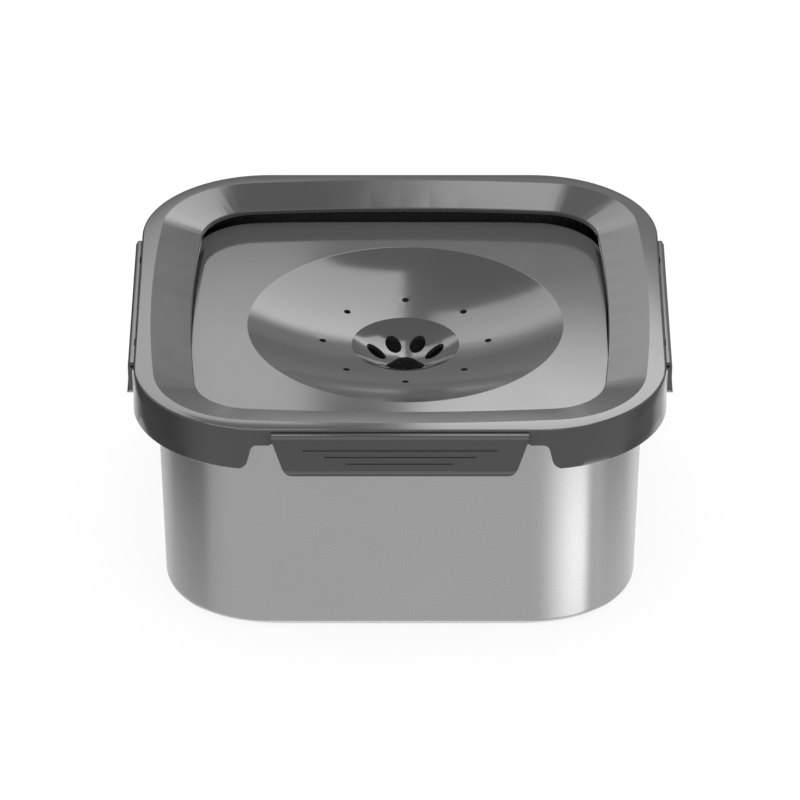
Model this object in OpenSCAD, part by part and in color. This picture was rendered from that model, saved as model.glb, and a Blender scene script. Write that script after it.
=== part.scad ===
// Square no-spill water bowl for pets: a drawn steel basin, a clip-on lid ring and a floating plate.
// Millimetres, +Z up, origin on the floor under the middle of the bowl, front of the bowl towards -Y.

/* [Basin] */
// Outer width of the basin just under its flange
basin_top_w = 229.2; // [200:0.2:260]
// How much narrower each side of the basin is at the floor
basin_taper = 3.2; // [0:0.1:6]
// Corner radius of the basin just under its flange
basin_corner_r = 54.2; // [44:0.1:64]
// Height from the basin's standing ring to the top of its flange
basin_h = 110.7; // [80:0.1:160]
// Sheet thickness
basin_t = 0.6; // [0.5:0.1:1]
// Outer radius where the wall turns into the floor
basin_edge_r = 4; // [2:0.5:8]
// How far the flange stands out from the wall
flange_w = 6.4; // [5:0.1:9]
// How far the flange's outer edge is turned down
hem_h = 5.7; // [4:0.1:7]
// Outer radius of the turned-down edge
hem_r = 1.2; // [1:0.1:2]
// Width of the standing ring around the raised floor panel
ring_w = 13; // [10:0.5:20]
// How far the floor panel is raised inside the standing ring
panel_rise = 1.2; // [0.8:0.1:3]

/* [Foot pads] */
// Radius of a foot pad
foot_r = 10; // [6:0.5:14]
// How far a foot pad stands below the standing ring
foot_proud = 0.8; // [0.5:0.1:2]
// Distance of a foot pad's middle inside the edge of the floor panel
foot_inset = 26.4; // [20:0.2:40]

/* [Lid] */
// Thickness of the lid's top and sloping wall
lid_t = 2; // [1.6:0.1:2.4]
// Thickness of the outer skirt
skirt_t = 2; // [1.6:0.1:3]
// Depth of the outer skirt below the lid's top
skirt_h = 21.1; // [18:0.1:26]
// How far the skirt flares out by its bottom edge
skirt_flare = 0.6; // [0:0.1:1]
// Gap between the basin's flange and the inside of the skirt
skirt_gap = 2; // [1.6:0.1:3]
// How much tighter the lid's corners are than the basin's
corner_draw = 3.6; // [0:0.1:4]
// Radius of the lid's outer top edge
lid_edge_r = 1.2; // [0.6:0.1:1.6]
// Width of the flat rim at the middle of the lid's sides
rim_w = 6.3; // [5.6:0.1:7.4]
// Width of the sloping wall between the flat rim and the opening
slope_w = 19.3; // [15:0.1:26]
// How far the sloping wall drops from the rim to the opening
slope_drop = 5.1; // [3:0.1:8]
// Radius of the outward bow of the sloping wall's upper edge
slope_bow_r = 850; // [750:10:2000]
// Corner radius of the sloping wall's upper edge
slope_corner_r = 46; // [40:0.5:52]
// Depth of the locating rib below the lid's top
rib_depth = 7.4; // [6.5:0.1:20]
// Thickness of the locating rib
rib_t = 1.8; // [1.2:0.1:2.4]
// Clearance between the locating rib and the basin's wall
rib_gap = 0.5; // [0.3:0.1:0.8]

/* [Lid seal] */
// Height of the seal between the flange and the lid
seal_h = 2.5; // [2:0.1:3.5]
// Width of the seal
seal_w = 3; // [2:0.1:3.2]
// Clearance on each side of the seal in its groove
seal_gap = 0.3; // [0.2:0.05:0.5]
// Clearance above the seal in its groove
seal_top_gap = 0.05; // [0.02:0.01:0.2]

/* [Latches] */
// Distance of a latch's end from the start of the lid's corner curve
latch_end_gap = 4.5; // [2:0.1:20]
// How much each end of a latch draws in by its bottom edge
flap_taper = 6; // [2:0.1:10]
// Depth of a latch's bottom edge below the lid's top
latch_depth = 22.6; // [20:0.1:26]
// Thickness of the latch's flap
flap_t = 2.1; // [1.6:0.1:2.6]
// Corner radius of the flap
flap_corner_r = 5; // [2:0.5:8]
// How far the finger lip along the flap's bottom edge stands out
lip_out = 0.8; // [0.3:0.1:1]
// Height of the finger lip's upright edge
lip_edge_h = 1; // [0.6:0.1:1.6]
// Height of the slope above the finger lip's edge
lip_slope_h = 1.2; // [0.8:0.1:1.6]
// Distance of the hook's end inside the latch's end
hook_inset = 15.2; // [12:0.1:30]
// Clearance of the hook from the flange when the latch hangs straight
hook_gap = 0.3; // [0.2:0.05:0.5]
// Distance of the hook below the flange's turned-down edge
hook_drop = 0.9; // [0.8:0.1:1.4]
// Number of finger grooves across the flap
groove_count = 3; // [1:1:4]
// Distance of the longest finger groove's end inside the latch's end
groove_inset = 14.4; // [10:0.05:20]
// How much shorter each finger groove is than the one above it
groove_step = 20.2; // [5:0.1:24]
// Spacing of the finger grooves
groove_pitch = 3.55; // [2:0.05:3.6]
// Depth of the first finger groove below the lid's top
groove_top = 9.35; // [8:0.05:10]
// Width of a finger groove
groove_w = 0.8; // [0.4:0.1:1.2]
// Cut depth of a finger groove
groove_depth = 0.5; // [0.2:0.1:0.8]

/* [Latch hinges] */
// Distance of the flap's outer face from the hinge axis
flap_reach = 2; // [1.9:0.05:2.1]
// Distance of the hinge axis outside the lid's outer face
hinge_out = 1; // [0.9:0.05:1.2]
// Distance of the hinge axis below the lid's top
hinge_drop = 3.9; // [3.8:0.1:4.4]
// Radius of the latch's round top about the hinge axis
crown_r = 2.45; // [2.3:0.05:2.6]
// Angle above level where the round top ends at its front
crown_turn = 60; // [50:1:65]
// Height above the hinge axis where the shoulder starts
step_h = 1.6; // [1.5:0.05:1.7]
// Height above the hinge axis where the shoulder meets the flap's face
shoulder_h = 0.3; // [0.2:0.05:0.5]
// How far a latch swings up from hanging straight, in degrees
latch_open = 115; // [90:1:115]
// How far a latch is pressed home from hanging straight, in degrees
latch_press = 7; // [5:0.5:8]
// Distance of the lid's hinge lugs from the middle of a latch
lug_at = 40; // [20:1:45]
// Width of a hinge lug
lug_w = 6; // [4:0.5:10]
// Wall of a hinge lug around its pin
lug_wall = 0.55; // [0.5:0.05:0.6]
// Radius of the hinge pin
pin_r = 0.7; // [0.6:0.05:0.75]
// Radial running clearance of the latch on its pin
pin_run = 0.06; // [0.03:0.01:0.1]
// Clearance between the latch and the lid around the hinge
hinge_gap = 0.25; // [0.2:0.05:0.3]
// Gap between the end of a latch and the skirt
latch_side_gap = 0.6; // [0.4:0.1:1]
// Depth of the shallow pocket in the skirt behind a latch
pocket_depth = 1; // [0.5:0.1:1.2]
// Depth below the lid's top where the skirt is cut away under a latch
notch_top = 8.2; // [7:0.1:9.5]
// Distance of the cut-away's straight edge past the end of a latch
notch_side = 9.2; // [6:0.1:12]
// How much further the cut-away's slanted edge runs by the skirt's bottom
notch_slant = 3; // [1:0.1:6]
// Corner radius at the top of the cut-away
notch_r = 3.2; // [0.5:0.1:4]
// Corner radius where the cut-away meets the skirt's bottom edge
notch_foot_r = 6; // [1:0.5:7]

/* [Float] */
// How far the floating plate reaches under the lid's lip on each side
float_catch = 2; // [1.8:0.1:6]
// Distance of the plate's top below the lid's lip
float_drop = 6.7; // [3:0.1:10]
// Sideways drift of the float inside the basin
float_drift = -2; // [-2:0.1:2]
// Thickness of the floating plate
plate_t = 2; // [1.6:0.1:2.6]
// Radius of the plate's top edge
plate_edge_r = 0.8; // [0.4:0.1:1.2]
// How far the float's underside lies below the cup
cup_clear = 1; // [0.5:0.1:6]
// Wall thickness of the float's lower tray
tray_t = 1.6; // [1.2:0.1:2.4]
// How far the plate overhangs the tray
tray_inset = 1.2; // [0.6:0.1:3]
// Distance of the open well's wall outside the drain holes
well_margin = 3.75; // [1:0.05:10]
// Gap at the joint between the plate and the tray's inner wall
weld_gap = 0.05; // [0.02:0.01:0.1]

/* [Dish] */
// Radius of the dish where it meets the plate
dish_r = 75.5; // [65:0.5:85]
// Radius of the sphere that shapes the dish
dish_sphere_r = 225; // [200:5:300]
// Radius of the dish's rounded rim
dish_rim_r = 1.5; // [1:0.5:6]
// Distance of the dish to the right of the plate's middle
dish_shift = 4.6; // [0:0.1:6]
// Radius of the cup in the middle of the dish
cup_r = 25.8; // [22:0.2:30]
// Radius of the sphere that shapes the cup
cup_sphere_r = 51; // [48:1:80]
// Number of small drain holes
drain_count = 8; // [4:1:12]
// Radius of the circle of drain holes
drain_circle_r = 39.6; // [33:0.2:48]
// Radius of a drain hole
drain_r = 1.65; // [1:0.05:1.8]

/* [Paw openings] */
// Width and length of an inner toe opening
inner_toe = [7.5, 12.5]; // [5:0.1:13]
// Place of the inner toe openings from the middle of the cup
inner_toe_at = [5.8, 9.3]; // [5:0.1:10]
// Outward lean of the inner toe openings
inner_toe_lean = 12; // [0:1:30]
// Width and length of an outer toe opening
outer_toe = [6.5, 13]; // [5:0.1:13]
// Place of the outer toe openings from the middle of the cup
outer_toe_at = [13.9, 1]; // [0:0.1:15]
// Outward lean of the outer toe openings
outer_toe_lean = 35; // [10:1:60]
// Width of the pad opening across its base
pad_hole_w = 20.5; // [14:0.5:24]
// Distance of the pad opening's top from the middle of the cup
pad_hole_top = 0; // [-4:0.5:1]
// Distance of the pad opening's base from the middle of the cup
pad_hole_base = -18; // [-20:0.5:-12]
// Corner radius of the pad opening
pad_hole_r = 5.5; // [3:0.5:6]

/* [Hidden] */
$fn = 96;
SIDES = ["right", "back", "left", "front"];
CORNERS = ["back_right", "back_left", "front_left", "front_right"];

steel = "#b4b4b4";
plastic = "#4e4e4e";
silicone = "#3a3a3a";
pin_steel = "#9a9a9a";
arc_steps = 6;
sphere_fn = 180;
cut = 1;
// Overlap of a flat middle with the sides swept round it
seam = 1;

basin_top_half = basin_top_w / 2;
basin_base_half = basin_top_half - basin_taper;

// Heights
ring_z = foot_proud;
flange_z = ring_z + basin_h;
lid_z = flange_z + seal_h + lid_t;
lip_z = lid_z - slope_drop - lid_t;
plate_z = lip_z - float_drop;
hem_z = flange_z - hem_h;

// Half widths of the basin's flange and of the lid
flange_half = basin_top_half + flange_w;
skirt_in_half = flange_half + skirt_gap;
lid_half = skirt_in_half + skirt_t;
rim_half = lid_half - rim_w;
opening_half = rim_half - slope_w;

// Corner centres of the basin's outlines, and of the lid's and the float's
basin_c = basin_top_half - basin_corner_r;
lid_c = basin_c + corner_draw;

// The sloping wall's outlines have bowed sides: half angle of a side, and the corners' centre
side_angle = acos((slope_bow_r - rim_half) / (slope_bow_r - slope_corner_r) / sqrt(2)) - 45;
slope_c = (slope_bow_r - slope_corner_r) * sin(side_angle);
bow_steps = 10;
corner_steps = 12;
lip_bevel = 0.4;
thin = 0.01;

// Flat part of the rim, made as two rings that lap each other
rim_step = 0.3;
rim_ring_half = rim_half + rim_step;
rim_lap = slope_bow_r * (1 - cos(side_angle)) + 1;

// Basin's floor
panel_half = basin_base_half - ring_w;
panel_slope = 1.5;
foot_at = panel_half - foot_inset;
flange_root_r = 1;
soft_r = 0.5;

// Half width of the basin's inner wall at a height
function basin_in_half(z) =
    basin_base_half - basin_t + (basin_top_half - basin_base_half) * (z - ring_z) / basin_h;
rib_z = lid_z - rib_depth;
rib_out_half = basin_in_half(rib_z) - rib_gap;
rib_in_half = rib_out_half - rib_t;

// Underside of the lid's sloping wall at a half width
function under_slope(half) =
    lid_z - lid_t - slope_drop * (rim_half - half) / (rim_half - opening_half);
rib_top_z = under_slope(rib_in_half) + lid_t / 2;

// Seal groove under the flat rim
seal_set_back = 0.1;
seal_out_half = flange_half - seal_set_back;
seal_in_half = seal_out_half - seal_w;
groove_out_half = seal_out_half + seal_gap;
groove_in_half = seal_in_half - seal_gap;
groove_wall = 1.4;
notch_clear = 0.05;
groove_clear = 0.6;

// Latch hinge
latch_half = lid_c - latch_end_gap;
axis_half = lid_half + hinge_out;
axis_z = lid_z - hinge_drop;
crown_start = 250;
crown_steps = 20;
relief_r = crown_r + hinge_gap;
pin_set_back = 2.5;
pin_half = latch_half - pin_set_back;
lug_r = pin_r + lug_wall;
pocket_half = latch_half + latch_side_gap;
pocket_face = lid_half - pocket_depth;

// Directions, seen along the hinge, between which a lug's web runs from its pin to the skirt
web_high = 218;
web_low = 265;
web_rise = 0.3;
web_foot = notch_top - hinge_drop - web_rise;
web_lip = 3;
web_root = 1;
slot_spare = 3;
slot_reach = 6;
slot_steps = 12;
hinge_block_gap = 0.9;
hinge_block_half = flange_half + hinge_block_gap;
notch_half = latch_half + notch_side;
flap_out = axis_half + flap_reach;
flap_in = flap_out - flap_t;
flap_lap = 0.4;
shoulder_r = 0.3;
flap_z = lid_z - latch_depth;
hook_half = latch_half - hook_inset;
hook_tip = flange_half + hook_gap;
hook_z = hem_z - hook_drop;
hook_t = 1.2;
hook_h = 3.6;

// Float
float_half = opening_half + float_catch;
tray_half = float_half - tray_inset;
plate_under_z = plate_z - plate_t;
dish_x = float_drift + dish_shift;
dish_centre_z = plate_z + sqrt(pow(dish_sphere_r, 2) - pow(dish_r, 2));
dish_slope = asin(dish_r / dish_sphere_r);
rim_run = dish_rim_r * tan(dish_slope / 2);
rim_reach = 1.2 * rim_run;
cup_rim_z = dish_centre_z - sqrt(pow(dish_sphere_r, 2) - pow(cup_r, 2));
cup_centre_z = cup_rim_z + sqrt(pow(cup_sphere_r, 2) - pow(cup_r, 2));
float_z = cup_centre_z - cup_sphere_r - plate_t - cup_clear;
float_h = plate_z - float_z;
well_r = drain_circle_r + drain_r + well_margin;
tray_edge_r = 2;
oval_steps = 48;

// Points of an arc that rounds one corner of an outline
function unit(v) = v / norm(v);
function turn(a) = a > 180 ? a - 360 : a < -180 ? a + 360 : a;
function corner_arc(before, at, after, r) =
    let (
        u = unit(before - at),
        v = unit(after - at),
        half = acos(u * v) / 2,
        middle = at + unit(u + v) * r / sin(half),
        first = at + u * r / tan(half) - middle,
        last = at + v * r / tan(half) - middle,
        start = atan2(first.y, first.x),
        sweep = turn(atan2(last.y, last.x) - start)
    )
    [for (i = [0 : arc_steps])
        let (angle = start + sweep * i / arc_steps)
        middle + r * [cos(angle), sin(angle)]];

// Outline from corners given as [x, y, radius]
function rounded(corners) =
    let (n = len(corners), points = [for (c = corners) [c.x, c.y]])
    [for (i = [0 : n - 1])
        each corners[i].z > 0
            ? corner_arc(points[(i + n - 1) % n], points[i], points[(i + 1) % n], corners[i].z)
            : [points[i]]];

// Points of an oval of a given width and length
function oval(size) =
    [for (i = [0 : oval_steps - 1])
        [size.x / 2 * cos(360 * i / oval_steps), size.y / 2 * sin(360 * i / oval_steps)]];

// Sweeps a profile of [half width, height] points around a rounded square with given corner centres
module swept(centre, profile) {
    for (side = [0 : 3])
        rotate([0, 0, 90 * side]) {
            translate([centre, centre, 0])
                rotate_extrude(angle = 90)
                    polygon([for (p = profile) [p.x - centre, p.y]]);
            rotate([90, 0, 0])
                linear_extrude(2 * centre, center = true)
                    polygon(profile);
        }
}

// Plate with the sloping wall's bowed outline at a half width
function arc_points(at, r, start, end, steps) =
    [for (i = [0 : steps - 1])
        let (angle = start + (end - start) * i / steps)
        at + r * [cos(angle), sin(angle)]];
function bowed_side(half) = concat(
    arc_points(
        [rim_half - slope_bow_r, 0], half - rim_half + slope_bow_r, -side_angle, side_angle, bow_steps
    ),
    arc_points(
        [slope_c, slope_c], half - rim_half + slope_corner_r, side_angle, 90 - side_angle, corner_steps
    )
);
function bowed_outline(half) =
    let (right = bowed_side(half))
    [for (side = [0 : 3])
        each [for (p = right)
            [p.x * cos(90 * side) - p.y * sin(90 * side), p.x * sin(90 * side) + p.y * cos(90 * side)]]];
module bowed_plate(half, z, thickness) {
    translate([0, 0, z])
        linear_extrude(thickness)
            polygon(bowed_outline(half));
}

// Outline of a wall between two half widths and two heights, rounded at its lower end
function wall_outline(inner, outer, low, high, r) =
    rounded([[outer, high, 0], [outer, low, r], [inner, low, r], [inner, high, 0]]);

// Square plate that fills the middle of a swept profile
module middle_plate(half, z, thickness) {
    translate([-half, -half, z])
        cube([2 * half, 2 * half, thickness]);
}

// Turns a shape made on the right-hand side to another side
module on_side(side) {
    rotate([0, 0, 90 * side])
        children();
}

// Rod along the hinge axis of the right-hand side
module hinge_rod(r, start, end) {
    translate([axis_half, start, axis_z])
        rotate([-90, 0, 0])
            cylinder(r = r, h = end - start);
}

// Extrudes an outline of [along the side, height] points outwards from a half width
module through_side(start, end, outline) {
    translate([start, 0, 0])
        rotate([90, 0, 90])
            linear_extrude(end - start)
                polygon(outline);
}

// Extrudes an outline of [half width, height] points along the right-hand side
module along_side(half_len, outline) {
    rotate([90, 0, 0])
        linear_extrude(2 * half_len, center = true)
            polygon(outline);
}

basin_profile = rounded([
    [basin_c, ring_z + panel_rise, 0],
    [panel_half, ring_z + panel_rise, 0],
    [panel_half + panel_slope, ring_z, 0],
    [basin_base_half, ring_z, basin_edge_r],
    [basin_top_half, flange_z - basin_t, flange_root_r],
    [flange_half - basin_t, flange_z - basin_t, hem_r - basin_t],
    [flange_half - basin_t, hem_z, 0],
    [flange_half, hem_z, 0],
    [flange_half, flange_z, hem_r],
    [basin_top_half - basin_t, flange_z, flange_root_r + basin_t],
    [basin_base_half - basin_t, ring_z + basin_t, basin_edge_r - basin_t],
    [panel_half + panel_slope, ring_z + basin_t, 0],
    [panel_half, ring_z + panel_rise + basin_t, 0],
    [basin_c, ring_z + panel_rise + basin_t, 0]
]);

module basin() {
    color(steel) {
        swept(basin_c, basin_profile);
        middle_plate(basin_c, ring_z + panel_rise, basin_t);
    }
}

module foot_pad(corner) {
    color(silicone)
        rotate([0, 0, 90 * corner])
            translate([foot_at, foot_at, 0])
                cylinder(r = foot_r, h = ring_z + panel_rise);
}

skirt_profile = rounded([
    [rim_ring_half, lid_z, 0],
    [lid_half, lid_z, lid_edge_r],
    [lid_half + skirt_flare, lid_z - skirt_h, soft_r],
    [skirt_in_half + skirt_flare, lid_z - skirt_h, soft_r],
    [skirt_in_half, lid_z - lid_t, 0],
    [rim_ring_half, lid_z - lid_t, 0]
]);

// Sloping wall from the flat rim down to the opening
module sloping_wall() {
    lip_top_z = lid_z - slope_drop;
    bevel_half = opening_half + lip_bevel;
    difference() {
        union() {
            bowed_plate(rim_half + rim_lap, lid_z - lid_t, lid_t);
            hull() {
                bowed_plate(rim_half, lid_z - lid_t, lid_t);
                bowed_plate(opening_half, lip_z, thin);
            }
        }
        hull() {
            bowed_plate(rim_half, lid_z, cut);
            bowed_plate(opening_half, lip_top_z, thin);
        }
        hull() {
            bowed_plate(bevel_half, under_slope(bevel_half) + lid_t, cut);
            bowed_plate(opening_half, lip_top_z - lip_bevel, thin);
        }
        bowed_plate(opening_half, lip_z - cut, slope_drop);
    }
}

notch_outline =
    let (
        low = lid_z - skirt_h - notch_clear,
        foot = notch_half + notch_slant,
        far = foot + 2 * notch_foot_r,
        right = [
            [notch_half, lid_z - notch_top, notch_r],
            [foot, low, notch_foot_r],
            [far, low, 0],
            [far, low - cut, 0]
        ]
    )
    rounded(concat([for (i = [3 : -1 : 0]) [-right[i].x, right[i].y, right[i].z]], right));

module hinge_cuts() {
    through_side(groove_out_half, lid_half + skirt_flare + cut, notch_outline);
    translate([pocket_face, -pocket_half, lid_z - notch_top - cut])
        cube([pocket_depth + skirt_flare + cut, 2 * pocket_half, notch_top + cut - hinge_drop]);
    hinge_rod(relief_r, -pocket_half, pocket_half);
}

// Thickens the skirt behind a latch
module hinge_block() {
    translate([hinge_block_half, -lid_c, lid_z - notch_top])
        cube([pocket_face - hinge_block_half, 2 * lid_c, notch_top - lid_t / 2]);
}

// Eye around the hinge pin on a web that runs down to the skirt behind the latch
module hinge_lug() {
    root = pocket_face - web_root - axis_half;
    difference() {
        union() {
            hinge_rod(lug_r, -lug_w / 2, lug_w / 2);
            along_side(lug_w / 2, [for (p = [
                [0, 0],
                [root, root * tan(web_high)],
                [root, -web_foot],
                [pocket_face - axis_half, -web_foot],
                [-web_lip / tan(web_low), -web_lip]
            ]) [axis_half + p.x, axis_z + p.y]]);
        }
        hinge_rod(pin_r, -lug_w, lug_w);
    }
}

module at_lugs() {
    for (place = [-lug_at, lug_at])
        translate([0, place, 0])
            children();
}

module lid_frame() {
    color(plastic) {
        difference() {
            union() {
                swept(lid_c, skirt_profile);
                sloping_wall();
                swept(basin_c, wall_outline(rib_in_half, rib_out_half, rib_z, rib_top_z, soft_r));
                for (start = [groove_in_half - groove_wall, groove_out_half])
                    swept(basin_c, wall_outline(
                        start, start + groove_wall, flange_z + groove_clear, lid_z - lid_t / 2, 0
                    ));
                for (side = [0 : 3])
                    on_side(side)
                        hinge_block();
            }
            swept(basin_c, wall_outline(
                groove_in_half, groove_out_half, flange_z, lid_z - lid_t + seal_top_gap, 0
            ));
            for (side = [0 : 3])
                on_side(side)
                    hinge_cuts();
        }
        for (side = [0 : 3])
            on_side(side)
                at_lugs()
                    hinge_lug();
    }
}

module lid_seal() {
    color(silicone)
        swept(basin_c, wall_outline(seal_in_half, seal_out_half, flange_z, flange_z + seal_h, soft_r));
}

// Section of a latch at its hinge: round back and top, short step and sloped shoulder
hinge_outline = rounded(concat(
    [for (i = [0 : crown_steps])
        let (angle = crown_start + (crown_turn - crown_start) * i / crown_steps)
        [axis_half + crown_r * cos(angle), axis_z + crown_r * sin(angle), 0]],
    [
        [axis_half + crown_r * cos(crown_turn), axis_z + step_h, 0],
        [flap_out, axis_z + shoulder_h, shoulder_r],
        [flap_out, axis_z - flap_lap, 0]
    ]
));

// Section of a latch's flap with the finger lip along its bottom edge
flap_section = [
    [flap_in, axis_z],
    [flap_out, axis_z],
    [flap_out, flap_z + lip_edge_h + lip_slope_h],
    [flap_out + lip_out, flap_z + lip_edge_h],
    [flap_out + lip_out, flap_z],
    [flap_in, flap_z]
];

// Outline of a latch seen from outside
latch_outline = rounded([
    [-latch_half, axis_z + crown_r + cut, 0],
    [-latch_half, axis_z, 0],
    [flap_taper - latch_half, flap_z, flap_corner_r],
    [latch_half - flap_taper, flap_z, flap_corner_r],
    [latch_half, axis_z, 0],
    [latch_half, axis_z + crown_r + cut, 0]
]);

// Room in a latch for one of the lid's hinge lugs over the whole swing
module lug_slot() {
    first = web_high - latch_open - slot_spare;
    last = web_low + latch_press + slot_spare;
    room = lug_w / 2 + hinge_gap;
    hinge_rod(lug_r + hinge_gap, -room, room);
    along_side(room, concat([[axis_half, axis_z]], [for (i = [0 : slot_steps])
        let (angle = first + (last - first) * i / slot_steps)
        [axis_half + slot_reach * cos(angle), axis_z + slot_reach * sin(angle)]]));
}

hook_outline = [
    [hook_tip, hook_z],
    [flap_in + cut, hook_z],
    [flap_in + cut, hook_z - hook_h],
    [flap_in, hook_z - hook_h],
    [hook_tip, hook_z - hook_t]
];

module finger_groove(row) {
    half = latch_half - groove_inset - groove_step * row / 2;
    translate([flap_out - groove_depth, -half, lid_z - groove_top - groove_pitch * row - groove_w / 2])
        cube([groove_depth + cut, 2 * half, groove_w]);
}

module latch(side) {
    color(plastic)
        on_side(side)
            difference() {
                union() {
                    intersection() {
                        union() {
                            along_side(latch_half, hinge_outline);
                            along_side(latch_half, flap_section);
                        }
                        through_side(axis_half - crown_r - cut, flap_out + lip_out + cut, latch_outline);
                    }
                    along_side(hook_half, hook_outline);
                }
                hinge_rod(pin_r + pin_run, -latch_half - cut, latch_half + cut);
                at_lugs()
                    lug_slot();
                for (row = [0 : groove_count - 1])
                    finger_groove(row);
            }
}

module hinge_pin(side) {
    color(pin_steel)
        on_side(side)
            hinge_rod(pin_r, -pin_half, pin_half);
}

module drain_holes() {
    for (i = [0 : drain_count - 1])
        rotate([0, 0, 360 * i / drain_count])
            translate([drain_circle_r, 0, float_z])
                cylinder(r = drain_r, h = float_h + cut, $fn = 32);
}

module paw_holes() {
    translate([0, 0, float_z - cut])
        linear_extrude(float_h) {
            for (flip = [0, 1])
                mirror([flip, 0, 0]) {
                    translate(inner_toe_at)
                        rotate([0, 0, -inner_toe_lean])
                            polygon(oval(inner_toe));
                    translate(outer_toe_at)
                        rotate([0, 0, -outer_toe_lean])
                            polygon(oval(outer_toe));
                }
            polygon(rounded([
                [0, pad_hole_top + pad_hole_r, pad_hole_r],
                [-pad_hole_w / 2 - pad_hole_r / 2, pad_hole_base, pad_hole_r],
                [pad_hole_w / 2 + pad_hole_r / 2, pad_hole_base, pad_hole_r]
            ]));
        }
}

// Sliver that rounds the dish's rim
module dish_rim_cut() {
    inner = [dish_r - rim_reach, dish_centre_z - sqrt(pow(dish_sphere_r, 2) - pow(dish_r - rim_reach, 2))];
    rim = corner_arc(inner, [dish_r, plate_z], [dish_r + rim_reach, plate_z], dish_rim_r);
    rotate_extrude()
        polygon(concat([inner], rim, [[rim[arc_steps].x, plate_z + cut], [inner.x, plate_z + cut]]));
}

module float_plate() {
    color(plastic)
        difference() {
            union() {
                translate([float_drift, 0, 0]) {
                    swept(lid_c, rounded([
                        [lid_c, plate_under_z, 0],
                        [float_half, plate_under_z, soft_r],
                        [float_half, plate_z, plate_edge_r],
                        [lid_c, plate_z, 0]
                    ]));
                    middle_plate(lid_c + seam, plate_under_z, plate_t);
                }
                translate([dish_x, 0, 0]) {
                    intersection() {
                        translate([0, 0, dish_centre_z])
                            sphere(r = dish_sphere_r + plate_t, $fn = sphere_fn);
                        translate([0, 0, float_z])
                            cylinder(r = dish_r + plate_t, h = plate_under_z + plate_t / 2 - float_z);
                    }
                    intersection() {
                        translate([0, 0, cup_centre_z])
                            sphere(r = cup_sphere_r + plate_t, $fn = sphere_fn);
                        translate([0, 0, float_z])
                            cylinder(r = cup_r + plate_t, h = cup_rim_z - float_z);
                    }
                }
            }
            translate([dish_x, 0, 0]) {
                translate([0, 0, dish_centre_z])
                    sphere(r = dish_sphere_r, $fn = sphere_fn);
                translate([0, 0, cup_centre_z])
                    sphere(r = cup_sphere_r, $fn = sphere_fn);
                dish_rim_cut();
                drain_holes();
                paw_holes();
            }
        }
}

module float_tray() {
    color(plastic) {
        difference() {
            union() {
                translate([float_drift, 0, 0]) {
                    swept(lid_c, rounded([
                        [lid_c, float_z, 0],
                        [tray_half, float_z, tray_edge_r],
                        [tray_half, plate_under_z, 0],
                        [tray_half - tray_t, plate_under_z, 0],
                        [tray_half - tray_t, float_z + tray_t, soft_r],
                        [lid_c, float_z + tray_t, 0]
                    ]));
                    middle_plate(lid_c, float_z, tray_t);
                }
                translate([dish_x, 0, float_z])
                    cylinder(r = well_r + tray_t, h = plate_under_z - float_z);
            }
            translate([dish_x, 0, float_z - cut])
                cylinder(r = well_r, h = float_h + cut);
            translate([dish_x, 0, dish_centre_z])
                sphere(r = dish_sphere_r + plate_t + weld_gap, $fn = sphere_fn);
        }
    }
}

basin();
lid_frame();
lid_seal();
float_plate();
float_tray();
for (i = [0 : 3]) foot_pad(i);
for (i = [0 : 3]) latch(i);
for (i = [0 : 3]) hinge_pin(i);
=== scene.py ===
"""Looks of a square no-spill water bowl: satin steel basin, glossy grey lid, latches and floating plate.

Metres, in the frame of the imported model: +Z up, front of the bowl towards -Y, floor at z = 0.
"""

import math

import bpy
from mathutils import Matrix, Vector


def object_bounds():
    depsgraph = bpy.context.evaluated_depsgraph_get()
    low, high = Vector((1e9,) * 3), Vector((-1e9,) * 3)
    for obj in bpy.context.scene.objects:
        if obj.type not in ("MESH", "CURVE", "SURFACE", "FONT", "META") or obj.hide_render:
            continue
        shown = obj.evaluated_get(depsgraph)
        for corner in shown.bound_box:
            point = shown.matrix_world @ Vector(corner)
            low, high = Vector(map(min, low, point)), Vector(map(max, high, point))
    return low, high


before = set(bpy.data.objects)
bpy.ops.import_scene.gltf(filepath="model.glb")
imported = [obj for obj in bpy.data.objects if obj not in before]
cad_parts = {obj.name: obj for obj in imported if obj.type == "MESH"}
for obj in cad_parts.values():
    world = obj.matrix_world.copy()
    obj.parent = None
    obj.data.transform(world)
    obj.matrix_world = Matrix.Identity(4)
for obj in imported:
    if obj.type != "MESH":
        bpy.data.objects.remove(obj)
cad_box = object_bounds()

SIDES = ("right", "back", "left", "front")
CORNERS = ("back_right", "back_left", "front_left", "front_right")

# Camera: level from the front with a long lens, looking down on the lid
IMAGE_PX = 800
FOCAL_PX = 6830
SENSOR_MM = 36
CAMERA_DISTANCE = 3.26
CAMERA_RISE = math.radians(29.206)
CAMERA_PITCH = math.radians(30.063)
CAMERA_REACH = 50

# Light level
AMBIENT = 0.85
TOP_LAMP_POWER = 14
TOP_LAMP_SIZE = 1.6
TOP_LAMP_HEIGHT = 2.2
FLOOR_RADIUS = 12
FLOOR_SIDES = 96
FLOOR_GLOW = 0.875
FLOOR_COLOUR = 0.145

# Cards behind the bowl: glow, distance, low left and high right (x, z), fades at the left, right, low and high
# edge, in metres
BACK_CARDS = {
    "softbox_left": (3.5, 0.8, (-0.6, 0.443), (-0.037, 0.86), (0.05, 0.03, 0.138, 0.05)),
    "softbox_right": (5.3, 0.8, (-0.01, 0.52), (0.6, 1.4), (0.034, 0.05, 0.085, 0.06)),
    "flag_low": (0.62, 0.78, (-0.8, 0.15), (0.8, 0.44), (0.05, 0.05, 0.03, 0.06)),
    "flag_corner": (0.85, 0.3, (-0.14, 0.382), (-0.015, 0.6), (0.02, 0.01, 0.015, 0.02)),
}

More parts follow.
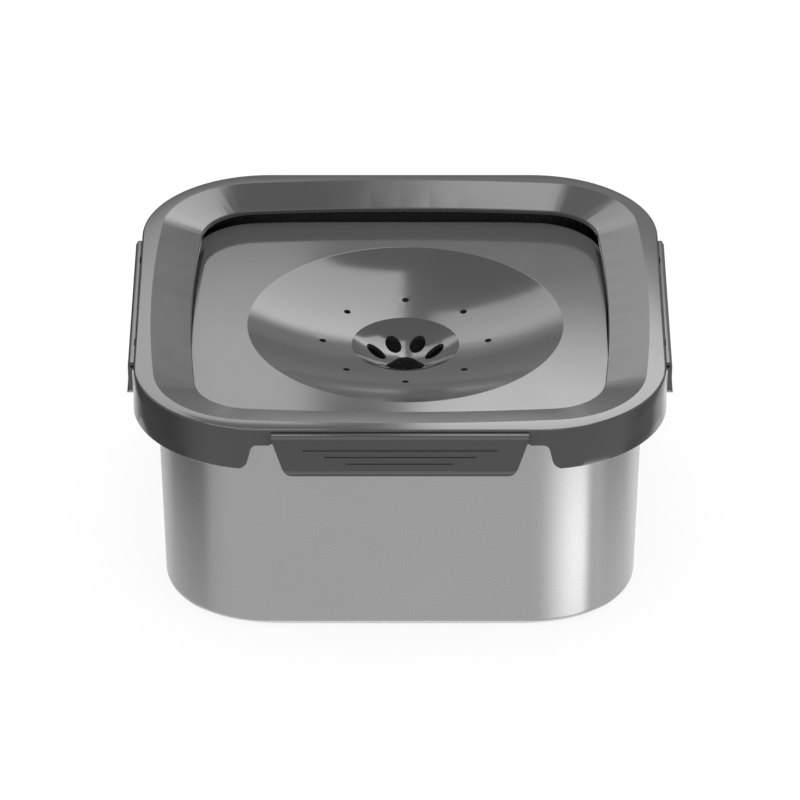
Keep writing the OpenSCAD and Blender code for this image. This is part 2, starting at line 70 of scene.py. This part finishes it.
# Upright bands around the bowl that the steel and the skirt mirror: glow, radius, start and end turn from the
# front in degrees, foot and head, fades at the start, end, foot and head in metres
BANDS = {
    "strip_right": (5.3, 0.45, 13, 62, -0.29, -0.105, (0.27, 0.06, 0.16, 0.03)),
    "skirt_left": (0.05, 0.46, -175, -40, -0.16, 0.2, (0.1, 0.3, 0.05, 0.02)),
    "skirt_right": (0.3, 0.46, 62, 175, -0.11, 0.2, (0.22, 0.1, 0.04, 0.02)),
    "steel_left": (0.12, 0.44, -117, -58, -0.215, -0.06, (0.1, 0.07, 0.105, 0.03)),
    "steel_right": (0.36, 0.44, 66, 114, -0.172, -0.06, (0.08, 0.1, 0.06, 0.03)),
    "foot_right": (1.3, 0.47, 62, 150, -0.3, -0.13, (0.06, 0.1, 0.05, 0.03)),
}
BAND_STEPS = 24

# Fades of the plain cards, of the ring and of the lip strips, as shares of the card
CARD_FADES = (0.1, 0.1, 0.1, 0.1)
RING_FADES = (0, 0, 0.1, 0.15)
LIP_FADES = (0.15, 0.15, 0, 0)

# Card above the camera that lights the latches' sloped shoulders: glow, distance, foot and head, half width
BROW = (1.9, -1.6, 0.7, 2.4, 1.0)

# Cards over the front edge that light the lid's rim and the latches' tops: glow, height, front and back, then the
# left and right end of each
CREST = (6.0, 0.45, -0.115, 0.03)
CREST_ENDS = {"crest_left": (-0.2, -0.031), "crest_right": (-0.008, 0.2)}

# Ring under the floor that lights the basin's lower edge: glow, height, inner and outer radius
UNDER_RING = (2.3, -0.3, 0.07, 0.27)

# Glowing strips just inside and behind the lid's back lip, a painted reflection of a lit lip in the plate where
# the lip's underside is in shade: glow, distance outside the lip, foot and head, then the lip's bowed sides and
# round corners as radius, distance of the arc's centre from the middle, and half turn of a side
LIP_STRIPS = {"lip_front": (0.47, -0.0004, 0.1025, 0.111), "lip_back": (0.47, 0.004, 0.1025, 0.1085)}
LIP_SIDE_R, LIP_SIDE_C = 0.8303, -0.7313
LIP_CORNER_R, LIP_CORNER_C = 0.0263, 0.06965
LIP_TURN = 4.97
LIP_STEPS = 8

# Facets that meet at less than this are shaded as one curved face
FACET_ANGLE = math.radians(8)
WELD_DISTANCE = 1e-6

# Plastics: grey level, roughness, depth of the moulded skin
PLASTICS = {
    "plastic_lid": (0.042, 0.1, 0.000003),
    "plastic_float": (0.042, 0.1, 0.000003),
    "plastic_latch": (0.04, 0.14, 0.000004),
    "plastic_tray": (0.038, 0.4, 0.00001),
}

# Grey levels of the other materials, and the roughness of the steel
STEEL_LEVEL = 0.33
STEEL_ROUGHNESS = 0.27
SILICONE_LEVEL = 0.03
WIRE_LEVEL = 0.5

# Noise per metre: drift, haze and skin of the plastic, grain and clouds of the steel, dust and draw lines
DRIFT, HAZE, SKIN = 9, 38, 2600
GRAIN, CLOUDS = 700, 14
DUST, DRAW_LINES = 320, 900


class Shader:
    """A material with a Principled shader and short calls for its nodes."""

    def __init__(self, name):
        self.material = bpy.data.materials.new(name)
        self.material.use_nodes = True
        self.tree = self.material.node_tree
        self.surface = self.tree.nodes["Principled BSDF"]

    def add(self, kind, links=None, **settings):
        node = self.tree.nodes.new(kind)
        for key, value in settings.items():
            setattr(node, key, value)
        for key, value in (links or {}).items():
            self.feed(node, key, value)
        return node

    def feed(self, node, key, value):
        socket = node.inputs[key]
        if isinstance(value, bpy.types.NodeSocket):
            self.tree.links.new(value, socket)
        else:
            socket.default_value = value

    def set(self, **values):
        for key, value in values.items():
            self.feed(self.surface, key.replace("_", " "), value)

    def noise(self, scale, detail=4.0):
        """Noise over the object's coordinates in metres."""
        spot = self.add("ShaderNodeTexCoord").outputs["Object"]
        return self.add("ShaderNodeTexNoise", {"Vector": spot, "Scale": scale, "Detail": detail}).outputs["Fac"]

    def ramp(self, value, low, high, to_low, to_high):
        links = {"Value": value, "From Min": low, "From Max": high, "To Min": to_low, "To Max": to_high}
        return self.add("ShaderNodeMapRange", links).outputs["Result"]

    def blend(self, share, first, second):
        colours = {"A": first + (1,), "B": second + (1,)}
        node = self.add("ShaderNodeMix", data_type="RGBA")
        for socket in node.inputs:
            if socket.type == "RGBA":
                socket.default_value = colours[socket.name]
        self.tree.links.new(share, node.inputs[0])
        return next(out for out in node.outputs if out.type == "RGBA")

    def bump(self, height, distance, strength):
        links = {"Height": height, "Distance": distance, "Strength": strength}
        return self.add("ShaderNodeBump", links).outputs["Normal"]


def grey(level):
    return (level, level, level)


def moulded_plastic(name):
    """Dark moulded plastic: faint shade drift, handling haze in the gloss, a fine moulded skin."""
    level, roughness, skin_depth = PLASTICS[name]
    made = Shader(name)
    drift = made.noise(DRIFT)
    haze = made.noise(HAZE, detail=6)
    skin = made.noise(SKIN, detail=2)
    made.set(
        Base_Color=made.blend(drift, grey(level * 0.9), grey(level * 1.1)),
        Roughness=made.ramp(haze, 0.3, 0.75, roughness * 0.85, roughness * 1.2),
        IOR=1.5,
        Normal=made.bump(skin, skin_depth, 0.15),
    )
    return made.material


def satin_steel(name):
    """Drawn sheet steel with a fine satin grain, whose gloss stretches round the bowl."""
    made = Shader(name)
    grain = made.noise(GRAIN, detail=3)
    cloud = made.noise(CLOUDS)
    tangent = made.add("ShaderNodeTangent", direction_type="RADIAL", axis="Z").outputs["Tangent"]
    made.set(
        Base_Color=made.blend(cloud, grey(STEEL_LEVEL * 0.95), grey(STEEL_LEVEL * 1.05)),
        Metallic=1.0,
        Roughness=made.ramp(grain, 0.3, 0.7, STEEL_ROUGHNESS * 0.98, STEEL_ROUGHNESS * 1.02),
        Anisotropic=0.7,
        Anisotropic_Rotation=0.25,
        Tangent=tangent,
        Normal=made.bump(grain, 0.000001, 0.05),
    )
    return made.material


def silicone(name):
    """Matt black silicone with a little dust in its skin."""
    made = Shader(name)
    dust = made.noise(DUST, detail=6)
    made.set(
        Base_Color=made.blend(dust, grey(SILICONE_LEVEL * 0.85), grey(SILICONE_LEVEL * 1.25)),
        Roughness=made.ramp(dust, 0.3, 0.7, 0.55, 0.72),
        IOR=1.42,
        Normal=made.bump(dust, 0.00002, 0.3),
    )
    return made.material


def drawn_wire(name):
    """Drawn steel wire of the hinge pins."""
    made = Shader(name)
    lines = made.noise(DRAW_LINES, detail=3)
    made.set(
        Base_Color=made.blend(lines, grey(WIRE_LEVEL * 0.9), grey(WIRE_LEVEL * 1.05)),
        Metallic=1.0,
        Roughness=made.ramp(lines, 0.3, 0.7, 0.22, 0.34),
        Normal=made.bump(lines, 0.00001, 0.2),
    )
    return made.material


def dress(material, *nodes):
    for name in nodes:
        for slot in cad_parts[name].material_slots:
            slot.material = material


def dress_bowl():
    dress(satin_steel("steel_satin"), "basin")
    dress(moulded_plastic("plastic_lid"), "lid_frame")
    dress(moulded_plastic("plastic_float"), "float_plate")
    dress(moulded_plastic("plastic_latch"), *(f"latch_{side}" for side in SIDES))
    dress(moulded_plastic("plastic_tray"), "float_tray")
    dress(silicone("silicone_black"), "lid_seal", *(f"foot_pad_{corner}" for corner in CORNERS))
    dress(drawn_wire("wire_pin"), *(f"hinge_pin_{side}" for side in SIDES))


def add_camera():
    lens = bpy.data.cameras.new("camera")
    lens.sensor_width = SENSOR_MM
    lens.lens = SENSOR_MM * FOCAL_PX / IMAGE_PX
    lens.clip_end = CAMERA_REACH
    camera = bpy.data.objects.new("camera", lens)
    lid_top = cad_box[1][2]
    camera.location = (
        0,
        -CAMERA_DISTANCE * math.cos(CAMERA_RISE),
        lid_top + CAMERA_DISTANCE * math.sin(CAMERA_RISE),
    )
    camera.rotation_euler = (math.pi / 2 - CAMERA_PITCH, 0, 0)
    bpy.context.scene.collection.objects.link(camera)
    bpy.context.scene.camera = camera


def add_world():
    """Plain ambient light on the object, white where the camera or a reflection looks past it."""
    world = bpy.data.worlds.new("studio")
    bpy.context.scene.world = world
    world.use_nodes = True
    tree = world.node_tree
    path = tree.nodes.new("ShaderNodeLightPath")
    seen = tree.nodes.new("ShaderNodeMath")
    seen.operation = "MAXIMUM"
    tree.links.new(path.outputs["Is Camera Ray"], seen.inputs[0])
    sharp = tree.nodes.new("ShaderNodeMath")
    sharp.operation = "MAXIMUM"
    tree.links.new(path.outputs["Is Glossy Ray"], sharp.inputs[0])
    tree.links.new(path.outputs["Is Transmission Ray"], sharp.inputs[1])
    tree.links.new(sharp.outputs[0], seen.inputs[1])
    level = tree.nodes.new("ShaderNodeMapRange")
    level.inputs["To Min"].default_value = AMBIENT
    level.inputs["To Max"].default_value = 1
    tree.links.new(seen.outputs[0], level.inputs["Value"])
    sky = tree.nodes["Background"]
    sky.inputs["Color"].default_value = (1, 1, 1, 1)
    tree.links.new(level.outputs["Result"], sky.inputs["Strength"])


def add_lamp():
    lamp = bpy.data.lights.new("top_lamp", "AREA")
    lamp.size = TOP_LAMP_SIZE
    lamp.energy = TOP_LAMP_POWER
    carrier = bpy.data.objects.new("top_lamp", lamp)
    carrier.location = (0, 0, TOP_LAMP_HEIGHT)
    carrier.visible_glossy = False
    bpy.context.scene.collection.objects.link(carrier)


def add_floor():
    bpy.ops.mesh.primitive_circle_add(vertices=FLOOR_SIDES, radius=FLOOR_RADIUS, fill_type="NGON")
    floor = bpy.context.object
    floor.name = "floor"
    material = bpy.data.materials.new("floor_white")
    material.use_nodes = True
    tree = material.node_tree
    tree.nodes.clear()
    glow = tree.nodes.new("ShaderNodeEmission")
    glow.inputs["Strength"].default_value = FLOOR_GLOW
    matt = tree.nodes.new("ShaderNodeBsdfDiffuse")
    matt.inputs["Color"].default_value = grey(FLOOR_COLOUR) + (1,)
    both = tree.nodes.new("ShaderNodeAddShader")
    tree.links.new(glow.outputs[0], both.inputs[0])
    tree.links.new(matt.outputs[0], both.inputs[1])
    out = tree.nodes.new("ShaderNodeOutputMaterial")
    tree.links.new(both.outputs[0], out.inputs["Surface"])
    floor.data.materials.append(material)
    floor.visible_glossy = False


def card_material(name, glow, fades):
    """Glow that fades into nothing over shares of the card at its left, right, lower and upper edge."""
    made = Shader(name)
    tree = made.tree
    place = made.add("ShaderNodeSeparateXYZ", {"Vector": made.add("ShaderNodeTexCoord").outputs["UV"]})
    share = None
    for axis, low, high in zip("XXYY", (0, 1, 0, 1), (fades[0], 1 - fades[1], fades[2], 1 - fades[3])):
        if low == high:
            continue
        links = {"Value": place.outputs[axis], "From Min": low, "From Max": high}
        edge = made.add("ShaderNodeMapRange", links, interpolation_type="SMOOTHSTEP").outputs["Result"]
        if share is None:
            share = edge
        else:
            both = made.add("ShaderNodeMath", operation="MULTIPLY")
            tree.links.new(share, both.inputs[0])
            tree.links.new(edge, both.inputs[1])
            share = both.outputs[0]
    light = made.add("ShaderNodeEmission", {"Strength": glow})
    mix = made.add("ShaderNodeMixShader", {"Fac": share})
    tree.links.new(made.add("ShaderNodeBsdfTransparent").outputs[0], mix.inputs[1])
    tree.links.new(light.outputs[0], mix.inputs[2])
    tree.nodes.remove(made.surface)
    tree.links.new(mix.outputs[0], tree.nodes["Material Output"].inputs["Surface"])
    return made.material


def add_card(name, columns, glow, fades):
    """A card seen only in reflections, from (bottom, top) corner pairs in order across."""
    points = [corner for column in columns for corner in column]
    faces = [(2 * i, 2 * i + 2, 2 * i + 3, 2 * i + 1) for i in range(len(columns) - 1)]
    mesh = bpy.data.meshes.new(name)
    mesh.from_pydata(points, [], faces)
    layer = mesh.uv_layers.new(name="place")
    for loop in mesh.loops:
        column, top = divmod(loop.vertex_index, 2)
        layer.data[loop.index].uv = (column / (len(columns) - 1), top)
    mesh.materials.append(card_material(name, glow, fades))
    card = bpy.data.objects.new(name, mesh)
    for ray in ("camera", "diffuse", "transmission", "shadow", "volume_scatter"):
        setattr(card, f"visible_{ray}", False)
    bpy.context.scene.collection.objects.link(card)


def around(radius, start, end, steps):
    """Points on a circle between two turns from the front, to the right in plan."""
    turns = [math.radians(start + (end - start) * i / steps) for i in range(steps + 1)]
    return [(radius * math.sin(turn), -radius * math.cos(turn)) for turn in turns]


def fade_shares(across, up, fades):
    return (fades[0] / across, fades[1] / across, fades[2] / up, fades[3] / up)


def lip_path(out):
    """Points outside the lid's lip, from the middle of its left side round the back to its right side."""
    right = [(LIP_SIDE_C + x, -y) for x, y in around(LIP_SIDE_R + out, 90, 90 - LIP_TURN, LIP_STEPS)]
    turns = around(LIP_CORNER_R + out, 90 + LIP_TURN, 180 - LIP_TURN, LIP_STEPS)
    right += [(LIP_CORNER_C + x, LIP_CORNER_C + y) for x, y in turns]
    right += [(x, LIP_SIDE_C + y) for x, y in around(LIP_SIDE_R + out, 180 - LIP_TURN, 180, LIP_STEPS)]
    return [(-x, y) for x, y in right] + right[::-1]


def add_cards():
    for name, (glow, y, (left, low), (right, high), fades) in BACK_CARDS.items():
        columns = [((x, y, low), (x, y, high)) for x in (left, right)]
        add_card(name, columns, glow, fade_shares(right - left, high - low, fades))
    for name, (glow, radius, start, end, foot, head, fades) in BANDS.items():
        columns = [((x, y, foot), (x, y, head)) for x, y in around(radius, start, end, BAND_STEPS)]
        add_card(name, columns, glow, fade_shares(radius * math.radians(end - start), head - foot, fades))
    glow, y, foot, head, half = BROW
    add_card("brow", [((x, y, foot), (x, y, head)) for x in (-half, half)], glow, CARD_FADES)
    glow, z, inner, outer = UNDER_RING
    ring = zip(around(inner, 0, 360, 2 * BAND_STEPS), around(outer, 0, 360, 2 * BAND_STEPS))
    add_card("under_ring", [(near + (z,), far + (z,)) for near, far in ring], glow, RING_FADES)
    # Glowing lip strips: a painted reflection of a lit lip in the plate, where the lip's underside is in shade
    for name, (glow, out, foot, head) in LIP_STRIPS.items():
        add_card(name, [((x, y, foot), (x, y, head)) for x, y in lip_path(out)], glow, LIP_FADES)
    glow, z, front, back = CREST
    for name, ends in CREST_ENDS.items():
        add_card(name, [((x, front, z), (x, back, z)) for x in ends], glow, CARD_FADES)


def smooth_facets(*nodes):
    """Shades the small facets of a curved face as one."""
    group = bpy.data.node_groups.new("smooth_facets", "GeometryNodeTree")
    group.interface.new_socket("Geometry", in_out="INPUT", socket_type="NodeSocketGeometry")
    group.interface.new_socket("Geometry", in_out="OUTPUT", socket_type="NodeSocketGeometry")
    start = group.nodes.new("NodeGroupInput")
    bare = group.nodes.new("GeometryNodeRemoveAttribute")
    bare.inputs["Name"].default_value = "custom_normal"
    faces = group.nodes.new("GeometryNodeSetShadeSmooth")
    edges = group.nodes.new("GeometryNodeSetShadeSmooth")
    edges.domain = "EDGE"
    angle = group.nodes.new("GeometryNodeInputMeshEdgeAngle")
    soft = group.nodes.new("FunctionNodeCompare")
    soft.operation = "LESS_THAN"
    soft.inputs["B"].default_value = FACET_ANGLE
    weld = group.nodes.new("GeometryNodeMergeByDistance")
    weld.inputs["Distance"].default_value = WELD_DISTANCE
    end = group.nodes.new("NodeGroupOutput")
    group.links.new(start.outputs[0], bare.inputs["Geometry"])
    group.links.new(bare.outputs[0], weld.inputs["Geometry"])
    group.links.new(weld.outputs[0], faces.inputs["Geometry"])
    group.links.new(faces.outputs[0], edges.inputs["Geometry"])
    group.links.new(angle.outputs["Unsigned Angle"], soft.inputs["A"])
    group.links.new(soft.outputs[0], edges.inputs["Shade Smooth"])
    group.links.new(edges.outputs[0], end.inputs[0])
    for name in nodes:
        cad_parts[name].modifiers.new("smooth_facets", "NODES").node_group = group


dress_bowl()
smooth_facets("lid_frame")
add_camera()
add_world()
add_lamp()
add_floor()
add_cards()

bpy.context.scene.view_settings.view_transform = "Standard"
